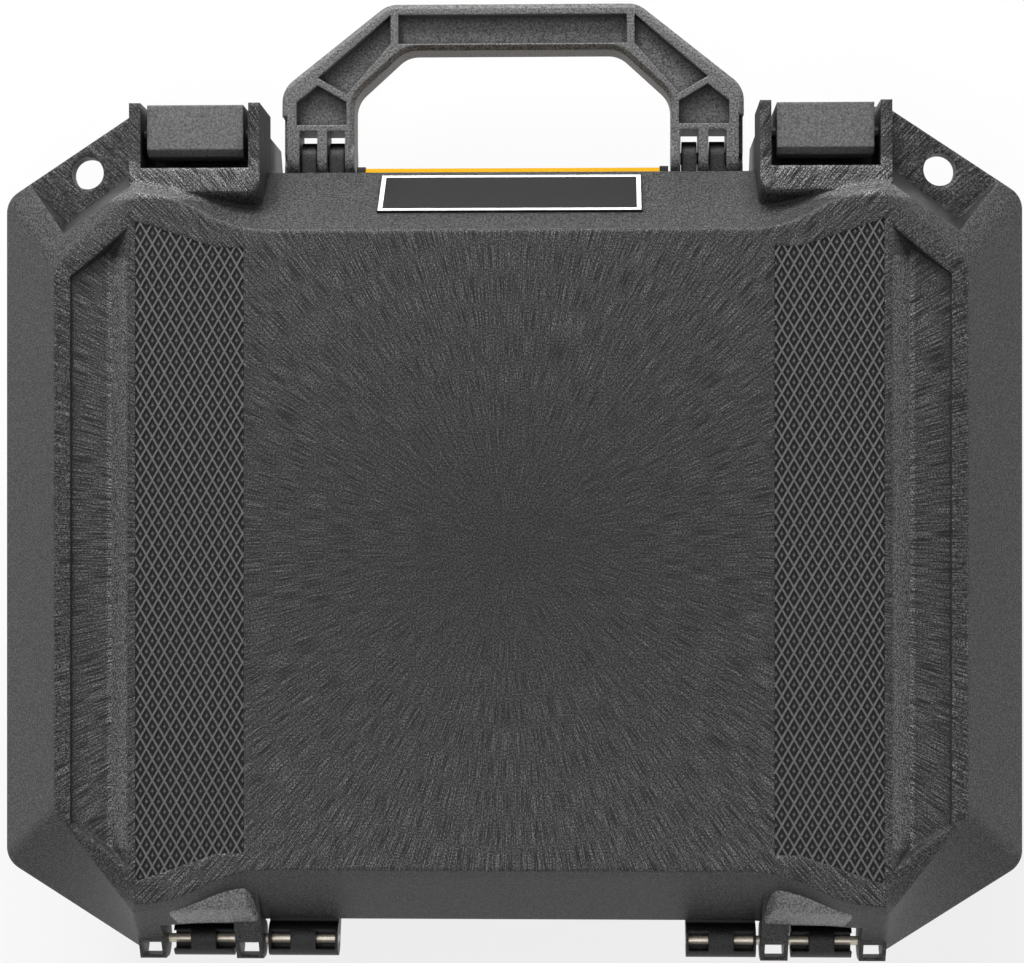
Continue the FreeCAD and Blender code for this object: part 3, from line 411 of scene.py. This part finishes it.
    def _flow_and_sheen(self, graph: Graph, place: Term, share: float) -> Term:
        """Draw moulding flow around the crown's middle, with a painted sheen that grows outwards and
        towards the hinges.

        Args:
            graph: nodes of the material.
            place: place in the shared frame.
            share: how far the tone wanders along the flow lines.
        Returns:
            A tone.
        """
        x, y, _ = graph.parts(place)
        upright = self._upright(graph)
        radius = (x * x + y * y) ** 0.5
        turned = {0: y.maths("ARCTAN2", x) * self.flow_turns, 1: radius * self.flow_length}
        flow = graph.noise(graph.add("ShaderNodeCombineXYZ", turned), 1.0, self.flow_detail)
        spread = (x * x * self.sheen_squeeze + y * y) ** 0.5
        rise = spread.maths("MINIMUM", self.sheen_reach) * self.sheen_gain
        sheen = (rise + y * self.sheen_lean - self.sheen_start) * self._outside(upright) + 1.0
        return self._flicker(flow, upright ** self.flat_only * share) * sheen

    def _crest_highlight(self, graph: Graph, place: Term, low: float, high: float, gain: float) -> Term:
        """Return a tone that rises from 1 to 1 + gain between two heights: a painted highlight on the
        ridges.
        """
        height = graph.parts(place)[2]
        return ((height - low) * (1 / (high - low))).within(0.0, 1.0) * gain + 1.0

    def _highlight_patch(self, graph: Graph, place: Term, low: Triple, high: Triple, gain: float) -> Term:
        """Paint a highlight on the outside faces within a box, taken on both sides of the case.

        Args:
            graph: nodes of the material.
            place: place in the shared frame.
            low: lowest corner of the box.
            high: highest corner of the box.
            gain: how much the tone rises.
        Returns:
            A tone of 1 + gain within the box and 1 outside it, soft over a millimetre.
        """
        x, y, z = graph.parts(place)
        inside = self._outside(self._upright(graph))
        for way, start, stop in zip((x.maths("ABSOLUTE"), y, z), low, high):
            inside = ((way - start) * (1 / MM) + 1.0).within(0.0, 1.0) * inside
            inside = ((stop - way) * (1 / MM)).within(0.0, 1.0) * inside
        return inside * gain + 1.0

    def _corner_shade(self, graph: Graph, reach: float) -> Term:
        """Return a tone that falls below 1 in corners and gaps: painted shade from ambient occlusion."""
        light = graph.add("ShaderNodeAmbientOcclusion", {"Distance": reach}, "AO", samples=self.samples)
        return light ** self.corner_shade_power * (1.0 - self.corner_shade_floor) + self.corner_shade_floor

    def _edge_highlight(self, graph: Graph, soft: Term, gain: float) -> Term:
        """Paint a highlight along the edges.

        Args:
            graph: nodes of the material.
            soft: softened normal.
            gain: how much the tone rises per turn of the normal.
        Returns:
            A tone above 1 where the softened normal leaves the face's own.
        """
        face = graph.add("ShaderNodeNewGeometry", output="Normal")
        match = graph.add("ShaderNodeVectorMath", {0: soft, 1: face}, "Value", operation="DOT_PRODUCT")
        return (1.0 - match).within(0.0, self.edge_highlight_limit) * gain + 1.0


def verts_of(items: list[Any]) -> list[bmesh.types.BMVert]:
    """Return the vertices among the items that an operator gives back."""
    return [item for item in items if isinstance(item, bmesh.types.BMVert)]


def copy_along(mesh: bmesh.types.BMesh, shifts: list[Vector]) -> None:
    """Copy everything in a mesh to further places.

    Args:
        mesh: mesh that grows.
        shifts: offset of each copy.
    """
    original = [*mesh.verts, *mesh.edges, *mesh.faces]
    for shift in shifts:
        copied = bmesh.ops.duplicate(mesh, geom=original)["geom"]
        bmesh.ops.translate(mesh, vec=shift, verts=verts_of(copied))


def add_mesh(name: str, body: str, mesh: bmesh.types.BMesh) -> bpy.types.Object:
    """Turn a bmesh into a piece that rides a body.

    Args:
        name: name of the new piece.
        body: body of the CAD model that it moves with.
        mesh: its geometry in the shared frame; freed here.
    Returns:
        The new object.
    """
    data = bpy.data.meshes.new(name)
    bmesh.ops.recalc_face_normals(mesh, faces=mesh.faces)
    mesh.to_mesh(data)
    mesh.free()
    obj = bpy.data.objects.new(name, data)
    bpy.context.scene.collection.objects.link(obj)
    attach(obj, body)
    return obj


@dataclass
class GripStrip:
    """Lattice of raised ridges with a nub in each cell, in one recess of the lid; millimetres.

    Args:
        side: side of the case.
        inner: x of the recess's inner edge.
        outer: x of its outer edge.
        front_inner: distance of the front edge from the middle, at the inner edge.
        front_outer: the same at the outer edge.
        back_inner: distance of the back edge from the middle, at the inner edge.
        back_outer: the same at the outer edge.
        foot: height of the underside.
        floor: height of the cells' floors.
        ridge_top: height of the ridges.
        cell_width: width of a rhombus.
        cell_height: length of a rhombus.
        ridge_flat_share: share of a cell that its ridge's flat takes.
        ridge_share: share of a cell that its ridge takes.
        nub_share: share of a cell that its nub takes.
        nub_rise: height of the nubs.
        spare_columns: further cells across the recess, to be cut off.
        spare_rows: further cells along the recess, to be cut off.
        merge: distance at which neighbouring cells join.
        cut: distance at which a cut takes an existing vertex.
    """

    side: Side
    inner: float = 83.3
    outer: float = 117.4
    front_inner: float = 93.4
    front_outer: float = 101.9
    back_inner: float = 96.9
    back_outer: float = 105.9
    foot: float = 123.05
    floor: float = 123.32
    ridge_top: float = 123.98
    cell_width: float = 3.8
    cell_height: float = 6.75
    ridge_flat_share: float = 0.12
    ridge_share: float = 0.3
    nub_share: float = 0.46
    nub_rise: float = 0.613
    spare_columns: int = 2
    spare_rows: int = 3
    merge: float = 0.01
    cut: float = 0.001

    def build(self, painter: Painter) -> bpy.types.Object:
        """Build and dress the lattice.

        Args:
            painter: maker of the finishes.
        Returns:
            The lattice piece.
        """
        mesh = bmesh.new()
        self._cell(mesh)
        self._field(mesh)
        self._trim(mesh)
        self._close(mesh)
        bmesh.ops.scale(mesh, vec=(self.side.value * MM, MM, MM), verts=mesh.verts)
        obj = add_mesh(f"grip_lattice_{self.side.word}", "lid", mesh)
        painter.paint(obj, Look.LATTICE)
        return obj

    def _cell(self, mesh: bmesh.types.BMesh) -> None:
        """Make one rhombus cell: half a ridge all round, a floor and a low pyramid.

        Args:
            mesh: empty mesh that takes the cell.
        """
        bmesh.ops.create_circle(mesh, cap_ends=True, segments=4, radius=1.0)
        bmesh.ops.scale(mesh, vec=(self.cell_width / 2, self.cell_height / 2, 1.0), verts=mesh.verts)
        bmesh.ops.translate(mesh, vec=(0.0, 0.0, self.ridge_top), verts=mesh.verts)
        face, share, height = mesh.faces[:][0], 1.0, self.ridge_top
        for next_share, next_height in ((1.0 - self.ridge_flat_share, self.ridge_top),
                                        (1.0 - self.ridge_share, self.floor),
                                        (self.nub_share, self.floor)):
            face = bmesh.ops.extrude_discrete_faces(mesh, faces=[face])["faces"][0]
            narrow = next_share / share
            bmesh.ops.scale(mesh, vec=(narrow, narrow, 1.0), verts=face.verts)
            bmesh.ops.translate(mesh, vec=(0.0, 0.0, next_height - height), verts=face.verts)
            share, height = next_share, next_height
        tip = bmesh.ops.poke(mesh, faces=[face])["verts"]
        bmesh.ops.translate(mesh, vec=(0.0, 0.0, self.nub_rise), verts=tip)

    def _field(self, mesh: bmesh.types.BMesh) -> None:
        """Repeat the cell over a field larger than the recess.

        Args:
            mesh: mesh with one cell at the origin.
        """
        width, height = self.cell_width, self.cell_height
        columns = math.ceil((self.outer - self.inner) / width) + self.spare_columns
        rows = math.ceil((self.front_outer + self.back_outer) / height) + self.spare_rows
        copy_along(mesh, [Vector((width / 2, height / 2, 0.0))])
        copy_along(mesh, [Vector((width * n, 0.0, 0.0)) for n in range(1, columns)])
        copy_along(mesh, [Vector((0.0, height * n, 0.0)) for n in range(1, rows)])
        first_column = math.floor(self.inner / width)
        first_row = -math.ceil(self.front_outer / height) - 1
        start = Vector((first_column * width, first_row * height, 0.0))
        bmesh.ops.translate(mesh, vec=start, verts=mesh.verts)
        bmesh.ops.remove_doubles(mesh, verts=mesh.verts, dist=self.merge)

    def _trim(self, mesh: bmesh.types.BMesh) -> None:
        """Cut the field of cells back to the recess.

        Args:
            mesh: field of cells.
        """
        width = self.outer - self.inner
        cuts = (
            ((self.inner, 0, 0), (-1, 0, 0)),
            ((self.outer, 0, 0), (1, 0, 0)),
            ((self.inner, -self.front_inner, 0), (self.front_inner - self.front_outer, -width, 0)),
            ((self.inner, self.back_inner, 0), (self.back_inner - self.back_outer, width, 0)),
        )
        for point, normal in cuts:
            geometry = [*mesh.verts, *mesh.edges, *mesh.faces]
            bmesh.ops.bisect_plane(mesh, geom=geometry, dist=self.cut, plane_co=point, plane_no=normal,
                                   clear_outer=True)

    def _close(self, mesh: bmesh.types.BMesh) -> None:
        """Give the field a skirt and an underside.

        Args:
            mesh: trimmed field of cells.
        """
        rim = [edge for edge in mesh.edges if edge.is_boundary]
        skirt = bmesh.ops.extrude_edge_only(mesh, edges=rim)["geom"]
        low = verts_of(skirt)
        bmesh.ops.scale(mesh, vec=(1.0, 1.0, 0.0), verts=low)
        bmesh.ops.translate(mesh, vec=(0.0, 0.0, self.foot), verts=low)
        edges = [item for item in skirt if isinstance(item, bmesh.types.BMEdge)]
        bmesh.ops.contextual_create(mesh, geom=edges)


@dataclass
class HingeFairing:
    """Flat brow over one hinge, with softened edges and a leaning inner end; millimetres.

    Args:
        side: side of the case.
        inner: x of the inner end.
        outer: x of the outer end.
        lean: how far the inner end's top stands back from its foot.
        inner_profile: y and z of the inner end's corners.
        outer_profile: y and z of the outer end's corners.
        soft: width of the softened edges.
        soft_steps: faces across a softened edge.
    """

    side: Side
    inner: float = 80.7
    outer: float = 118.6
    lean: float = 3.5
    inner_profile: Profile = ((104.5, 114.6), (115.6, 114.0), (121.6, 102.6), (110.0, 103.0))
    outer_profile: Profile = ((106.0, 118.6), (116.4, 118.0), (122.4, 106.0), (110.0, 103.0))
    soft: float = 1.4
    soft_steps: int = 3

    def build(self, painter: Painter) -> bpy.types.Object:
        """Build and dress the brow.

        Args:
            painter: maker of the finishes.
        Returns:
            The brow piece.
        """
        mesh = bmesh.new()
        for x, lean, profile in ((self.inner, self.lean, self.inner_profile),
                                 (self.outer, 0.0, self.outer_profile)):
            shifts = (lean, lean, 0.0, 0.0)
            ring = [mesh.verts.new((x + shift, y, z)) for (y, z), shift in zip(profile, shifts)]
            for one, other in zip(ring, ring[1:] + ring[:1]):
                mesh.edges.new((one, other))
        bmesh.ops.bridge_loops(mesh, edges=mesh.edges[:])
        bmesh.ops.holes_fill(mesh, edges=mesh.edges[:], sides=len(self.inner_profile))
        bmesh.ops.recalc_face_normals(mesh, faces=mesh.faces[:])
        bmesh.ops.bevel(mesh, geom=mesh.edges[:], offset=self.soft, segments=self.soft_steps,
                        affect="EDGES", profile=0.5, material=-1)
        bmesh.ops.scale(mesh, vec=(self.side.value * MM, MM, MM), verts=mesh.verts)
        obj = add_mesh(f"hinge_fairing_{self.side.word}", "lid", mesh)
        obj.data.polygons.foreach_set("use_smooth", [True] * len(obj.data.polygons))
        # Its much lighter finish is a painted highlight on the lid's plastic.
        painter.paint(obj, Look.FAIRING)
        return obj


@dataclass
class LeafSpring:
    """Spring behind one release button, copied from the CAD node's spring; metres.

    Args:
        side: side of the case.
        keep: share of its bow that is left when the button is in; not used.
        merge: distance at which the corners of the CAD node's triangles join.
    """

    side: Side
    keep: float = 0.55
    merge: float = 1e-6

    def build(self, painter: Painter) -> bpy.types.Object:
        """Build and dress the spring, in place of the rigid one.

        Args:
            painter: maker of the finishes.
        Returns:
            The spring piece.
        """
        node = f"button_spring_{self.side.word}"
        mesh = bmesh.new()
        mesh.from_mesh(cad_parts[node].data)
        bmesh.ops.remove_doubles(mesh, verts=mesh.verts, dist=self.merge)
        obj = add_mesh(f"leaf_spring_{self.side.word}", f"latch_{self.side.word}", mesh)
        painter.paint(obj, Look.BRIGHT_PIN)
        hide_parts(node)
        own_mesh(obj)
        return obj


@dataclass
class LabelBorder:
    """Plain light border around the blank label on the front slope; metres.

    Args:
        inset: distance from the label's edge.
        width: width of the border.
        lift: height above the label's face.
        sunk: depth of the border's underside below that face.
        front_weight: weight of y against z that finds the label's front foot.
    """

    inset: float = 0.0002
    width: float = 0.0014
    lift: float = 0.00008
    sunk: float = 0.0003
    front_weight: float = 5.0

    def build(self, painter: Painter) -> bpy.types.Object:
        """Build and dress the border, laid on the label's outer face.

        Args:
            painter: maker of the finishes.
        Returns:
            The border piece.
        """
        points = [vertex.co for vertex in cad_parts["front_label"].data.vertices]
        half = max(point.x for point in points) - self.inset
        foot = min(points, key=lambda point: point.z + point.y * self.front_weight)
        top = max(points, key=lambda point: point.z)
        up = Vector((0.0, top.y - foot.y, top.z - foot.z))
        low, high = self.inset, up.length - self.inset
        up.normalize()
        out = Vector((0.0, -up.z, up.y))
        start = Vector((0.0, foot.y, foot.z)) - out * self.sunk
        mesh = bmesh.new()
        corners = ((-half, low), (half, low), (half, high), (-half, high))
        plate = mesh.faces.new([mesh.verts.new(start + Vector((x, 0.0, 0.0)) + up * rise)
                                for x, rise in corners])
        mesh.normal_update()
        bmesh.ops.inset_region(mesh, faces=[plate], thickness=self.width, use_boundary=True,
                               use_even_offset=True)
        bmesh.ops.delete(mesh, geom=[plate], context="FACES_ONLY")
        raised = bmesh.ops.extrude_face_region(mesh, geom=mesh.faces[:], use_keep_orig=True)["geom"]
        bmesh.ops.translate(mesh, vec=out * (self.sunk + self.lift), verts=verts_of(raised))
        obj = add_mesh("label_border", "lid", mesh)
        painter.paint(obj, Look.BORDER)
        return obj


@dataclass
class CadDress:
    """Gives every CAD node its finish, by the start of its name."""

    looks: dict[str, Look] = field(default_factory=lambda: {
        "lid_shell": Look.LID, "base_shell": Look.BASE, "lid_gasket": Look.GASKET,
        "front_label": Look.LABEL, "front_strip": Look.STRIP, "carry_handle": Look.HANDLE,
        "latch_lever": Look.LEVER, "latch_button": Look.LEVER, "button_retainer": Look.HANDLE,
        "hinge_pin": Look.BRIGHT_PIN, "handle_pin": Look.DARK_PIN, "latch_pin": Look.DARK_PIN,
        "button_spring": Look.BRIGHT_PIN,
    })

    def apply(self, painter: Painter) -> None:
        """Paint all nodes.

        Args:
            painter: maker of the finishes.
        """
        for name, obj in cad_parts.items():
            look = next(look for start, look in self.looks.items() if name.startswith(start))
            painter.paint(obj, look)


@dataclass(frozen=True)
class Lamp:
    """One soft box that looks at the case; metres and watts."""

    name: str
    place: Triple
    size: float
    power: float

    def build(self, target: Vector) -> None:
        """Add the light to the scene.

        Args:
            target: point that it looks at.
        """
        data = bpy.data.lights.new(self.name, "AREA")
        data.size = self.size
        data.energy = self.power
        obj = bpy.data.objects.new(self.name, data)
        obj.location = self.place
        obj.rotation_euler = (target - obj.location).to_track_quat("-Z", "Y").to_euler()
        bpy.context.scene.collection.objects.link(obj)


@dataclass
class Studio:
    """White floor, soft boxes and the camera of the photograph; metres.

    Args:
        target: point that camera and lamps look at.
        camera_place: place of the camera.
        camera_up: direction that is up in the picture.
        lens: focal length in millimetres.
        sensor: width of the film in millimetres.
        shift: shift of the picture, as a share of its width.
        sky_horizon: light of the sky at the horizon, above that of its top.
        sky_top: light of the sky overhead.
        sky_fall: power with which the sky darkens upwards.
        floor_half: half the floor's side.
        floor_drop: gap between the case and the floor.
        floor_tone: grey of the floor.
        floor_roughness: roughness of the floor.
        floor_glow: share of plain white in the floor that the camera sees.
        lamps: the soft boxes.
    """

    target: Vector = field(default_factory=lambda: Vector((0.0, 0.0, 0.088)))
    camera_place: Vector = field(default_factory=lambda: Vector((-0.0286, 0.0, 0.988)))
    camera_up: Vector = field(default_factory=lambda: Vector((0.0, -1.0, 0.0)))
    lens: float = 97.0
    sensor: float = 36.0
    shift: float = 0.062
    sky_horizon: float = 0.32
    sky_top: float = 0.06
    sky_fall: float = 2.0
    floor_half: float = 6.0
    floor_drop: float = 0.0005
    floor_tone: float = 0.8
    floor_roughness: float = 0.9
    floor_glow: float = 0.8
    lamps: tuple[Lamp, ...] = (
        Lamp("front", (0.25, -1.3, 0.7), 0.9, 36.0),
        Lamp("top", (0.5, -0.7, 1.7), 0.7, 5.0),
        Lamp("left", (1.3, -0.1, 0.55), 0.7, 0.8),
        Lamp("right", (-1.3, 0.0, 0.55), 0.9, 4.5),
        Lamp("back", (0.1, 1.3, 0.7), 0.5, 1.0),
        Lamp("brow", (0.05, 0.36, 1.6), 0.35, 2.5),
    )

    def build(self) -> None:
        """Make floor, world, lights and camera."""
        self._floor()
        self._world()
        for lamp in self.lamps:
            lamp.build(self.target)
        self._camera()

    def _floor(self) -> None:
        """Lay a floor that shows white but keeps the case's shadow."""
        mesh = bmesh.new()
        bmesh.ops.create_grid(mesh, x_segments=1, y_segments=1, size=self.floor_half)
        data = bpy.data.meshes.new("floor")
        mesh.to_mesh(data)
        mesh.free()
        obj = bpy.data.objects.new("floor", data)
        obj.location.z = -self.floor_drop
        bpy.context.scene.collection.objects.link(obj)
        material = bpy.data.materials.new("floor")
        material.use_nodes = True
        graph = Graph(material.node_tree)
        pale = graph.tree.nodes["Principled BSDF"]
        pale.inputs["Base Color"].default_value = (self.floor_tone, self.floor_tone, self.floor_tone, 1.0)
        pale.inputs["Roughness"].default_value = self.floor_roughness
        shown = {0: graph.seen() * self.floor_glow, 1: Term(graph, pale.outputs[0]),
                 2: graph.add("ShaderNodeEmission", {"Strength": 1.0})}
        graph.feed(graph.tree.nodes["Material Output"].inputs["Surface"],
                   graph.add("ShaderNodeMixShader", shown))
        data.materials.append(material)

    def _world(self) -> None:
        """Make a sky that lights the case softly and shows white."""
        world = bpy.data.worlds.new("studio")
        world.use_nodes = True
        graph = Graph(world.node_tree)
        height = graph.parts(graph.add("ShaderNodeTexCoord", output="Generated"))[2]
        low = (1.0 - height).maths("MAXIMUM", 0.0) ** self.sky_fall
        sky = low * self.sky_horizon + self.sky_top
        back = graph.tree.nodes["Background"]
        back.inputs["Color"].default_value = (1.0, 1.0, 1.0, 1.0)
        graph.feed(back.inputs["Strength"], sky.maths("MAXIMUM", graph.seen()))
        bpy.context.scene.world = world

    def _camera(self) -> None:
        """Set the camera and the view transform."""
        data = bpy.data.cameras.new("camera")
        data.lens = self.lens
        data.sensor_width = self.sensor
        data.shift_y = self.shift
        obj = bpy.data.objects.new("camera", data)
        back = (self.camera_place - self.target).normalized()
        right = self.camera_up.cross(back).normalized()
        turn = Matrix((right, back.cross(right), back)).transposed().to_4x4()
        obj.matrix_world = Matrix.Translation(self.camera_place) @ turn
        bpy.context.scene.collection.objects.link(obj)
        bpy.context.scene.camera = obj
        bpy.context.scene.view_settings.view_transform = "Standard"


def main() -> None:
    """Dress the CAD model, add the further pieces and set the studio."""
    logging.basicConfig(level=logging.INFO)
    painter = Painter()
    CadDress().apply(painter)
    pieces = [kind(side).build(painter) for side in Side
              for kind in (GripStrip, HingeFairing, LeafSpring)]
    pieces.append(LabelBorder().build(painter))
    for piece in pieces:
        LOG.info("%s: %d faces", piece.name, len(piece.data.polygons))
    Studio().build()


if __name__ == "__main__":
    main()
